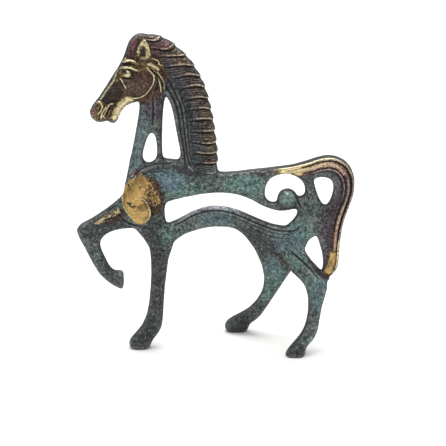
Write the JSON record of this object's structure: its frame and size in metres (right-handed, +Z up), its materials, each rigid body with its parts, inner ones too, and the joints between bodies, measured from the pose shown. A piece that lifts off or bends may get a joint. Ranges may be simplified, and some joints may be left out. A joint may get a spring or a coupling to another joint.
{
  "type": "horse statuette",
  "caption": "Flat openwork bronze horse that stands on three hooves with one foreleg raised, its neck, body and haunch pierced by holes and slots.",
  "frame": {"origin": "centre of the footprint box, at the level of the soles", "axes": "+Z up, the head points to -X, the near side (the side in the picture) faces -Y"},
  "size_m": [0.1462, 0.0468, 0.1678],
  "materials": {
    "bronze": "solid cast bronze, dark brown-grey with patches of green and blue-grey patina, worn golden on the mane, tail, face and shoulder"
  },
  "bodies": {
    "root": {"horse": "bronze"}
  },
  "joints": []
}
